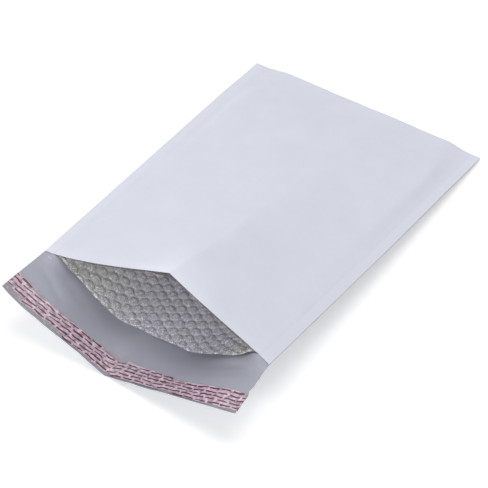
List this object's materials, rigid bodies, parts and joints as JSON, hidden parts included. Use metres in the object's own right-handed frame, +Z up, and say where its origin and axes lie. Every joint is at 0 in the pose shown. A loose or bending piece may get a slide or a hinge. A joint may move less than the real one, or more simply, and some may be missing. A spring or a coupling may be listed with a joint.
{
  "type": "bubble mailer",
  "caption": "Open poly bubble mailer: folded, side-welded film with a bubble lining and a flap that has an adhesive strip under a peel-off liner.",
  "frame": {"origin": "centre of the bounding box, on the surface that the mailer lies on", "axes": "+X across the mailer, +Y from the mouth to the bottom fold, +Z up, out of the front panel"},
  "size_m": [0.241, 0.3994, 0.0834],
  "materials": {
    "outer_film": "soft sheen poly film, white outside and grey inside",
    "bubble_lining": "clear glossy bubble wrap",
    "adhesive_strip": "clear tacky glue",
    "release_liner": "clear film with rows of plum dashes"
  },
  "bodies": {
    "root": {"outer_film": "outer_film", "bubble_lining": "bubble_lining", "adhesive_strip": "adhesive_strip", "release_liner": "release_liner"}
  },
  "joints": []
}
